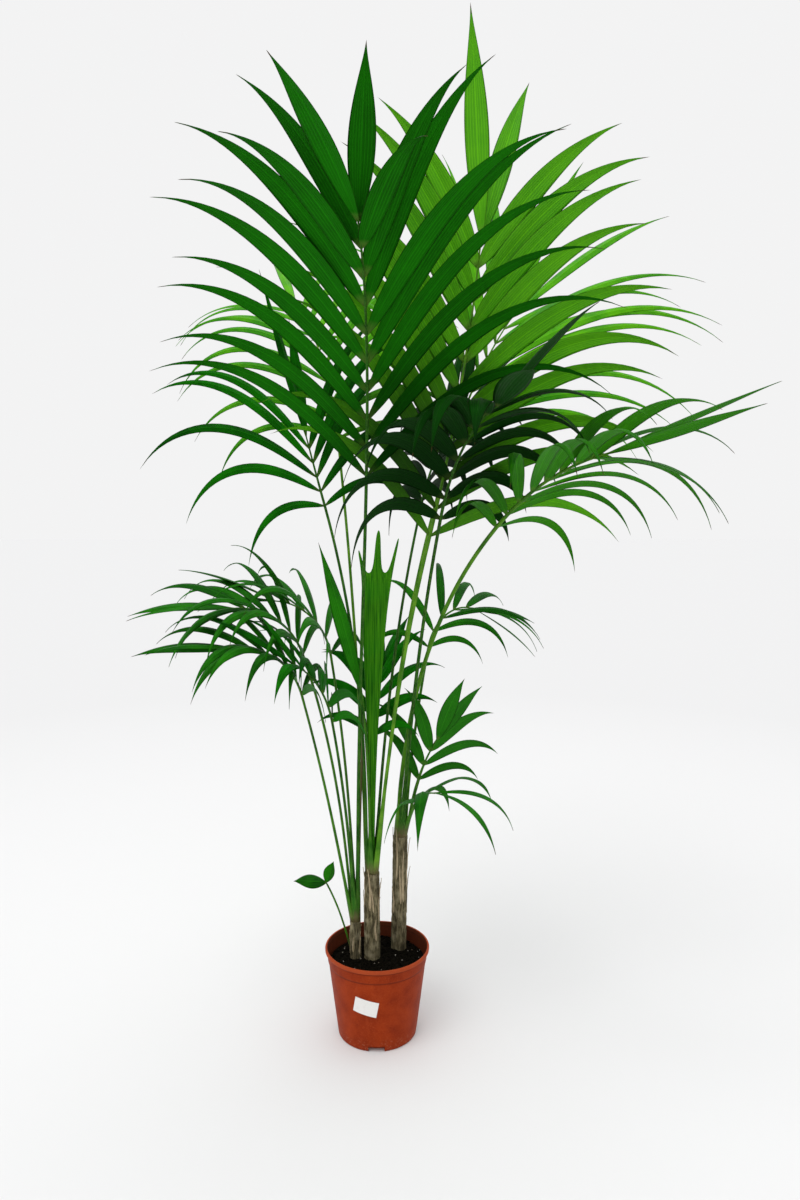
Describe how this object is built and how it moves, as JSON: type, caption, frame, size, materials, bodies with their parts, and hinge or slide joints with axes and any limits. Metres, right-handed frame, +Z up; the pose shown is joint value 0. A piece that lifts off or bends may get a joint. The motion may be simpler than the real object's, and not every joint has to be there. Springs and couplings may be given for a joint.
{
  "type": "potted palm",
  "caption": "tall feather-leaved indoor palm growing as slender clustered stems in a round nursery pot, free standing, for use as a live floor plant",
  "frame": {"origin": "centre of the flat underside of the pot, which the plant stands on", "axes": "+Z up, along the plant's height; -Y to the front, the side with the label; +X to the right seen from the front"},
  "size_m": [1.1921, 1.1717, 1.8492],
  "materials": {
    "pot": "satin",
    "soil": "matte",
    "label": "satin",
    "stem": "matte",
    "stalk": "satin",
    "young_leaf": "satin",
    "leaf": "satin"
  },
  "bodies": {
    "root": {"pot": "pot", "soil": "soil", "label": "label", "stem_main": "stem", "stem_right": "stem", "stem_left": "stem", "cut_stalk": "stalk", "spear_leaf": "young_leaf", "leaf_undivided": "leaf", "seedling": "young_leaf", "frond_front": "leaf", "frond_top": "leaf", "frond_back_right": "leaf", "frond_back_left": "leaf", "frond_left": "leaf", "frond_right": "leaf", "frond_front_right": "leaf", "frond_low_left_a": "leaf", "frond_low_left_b": "leaf", "frond_low_left_c": "leaf", "frond_low_left_d": "leaf", "frond_low_right": "leaf", "frond_low_middle": "leaf", "frond_young": "leaf", "frond_mid_right": "leaf", "frond_mid_back": "leaf"}
  },
  "joints": []
}
